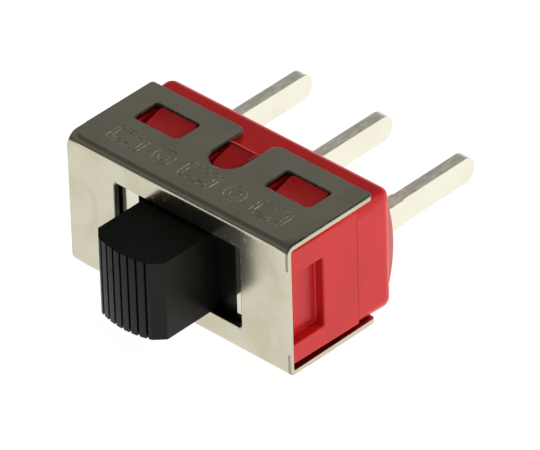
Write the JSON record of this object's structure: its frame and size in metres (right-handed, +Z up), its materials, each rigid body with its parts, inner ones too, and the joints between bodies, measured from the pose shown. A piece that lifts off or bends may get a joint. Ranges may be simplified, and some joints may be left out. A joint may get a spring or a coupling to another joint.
{
  "type": "slide switch",
  "caption": "Miniature slide switch: folded steel frame round a red moulded case, black ribbed knob in a slot, flat tinned pins in line at the back, with working slider and rocker contact.",
  "frame": {"origin": "middle of the lower flange's outer face, the face that it rests on", "axes": "+X along the knob's slide, -Y from the case towards the finger knob, +Y towards the pins, +Z up, square to the flanges"},
  "size_m": [0.0126, 0.0164, 0.0066],
  "materials": {
    "frame_sheet": "bright rolled sheet, satin, with light handling marks",
    "shutter_sheet": "polished thin sheet",
    "red_case": "moulded, glossy red, slightly translucent at thin edges",
    "resin_seal": "poured clear resin over red",
    "tinned_pin": "bright tin plate on flat copper-alloy pins",
    "silver_contact": "silver, crowned and polished",
    "copper_alloy": "plain copper alloy",
    "black_knob": "moulded black, semi-matt",
    "spring_wire": "bright drawn wire",
    "plunger_metal": "turned, polished"
  },
  "bodies": {
    "housing": {"frame": "frame_sheet", "case": "red_case", "terminal_seal": "resin_seal", "terminal_left": "tinned_pin", "terminal_centre": "tinned_pin", "terminal_right": "tinned_pin", "end_contact_left": "silver_contact", "end_contact_right": "silver_contact", "pivot_saddle": "copper_alloy"},
    "slide": {"slider": "black_knob", "contact_spring": "spring_wire"},
    "plunger_body": {"plunger": "plunger_metal"},
    "rocker_body": {"rocker": "silver_contact"},
    "shutter_body": {"shutter": "shutter_sheet"}
  },
  "joints": [
    {"name": "knob_slide", "type": "slide", "parent": "housing", "child": "slide", "axis": [1, 0, 0], "range_m": [-0.0016, 0.0016]},
    {"name": "shutter_slide", "type": "slide", "parent": "housing", "child": "shutter_body", "axis": [1, 0, 0], "range_m": [-0.00105, 0.00105]},
    {"name": "rocker_tip", "type": "hinge", "parent": "housing", "child": "rocker_body", "pos_m": [0, 0.00089, 0.0033], "axis": [0, 0, 1], "range_deg": [-6, 6]},
    {"name": "plunger_press", "type": "slide", "parent": "slide", "child": "plunger_body", "axis": [0, -1, 0], "range_m": [0, 0.0002], "stiffness_N_per_m": 100, "springref_m": -0.0005, "deforming": ["contact_spring"]}
  ],
  "couplings": [
    {"joint": "shutter_slide", "follows": "knob_slide", "ratio": 0.65625},
    {"joint": "rocker_tip", "follows": "knob_slide", "rad_per_m": 65.45}
  ]
}
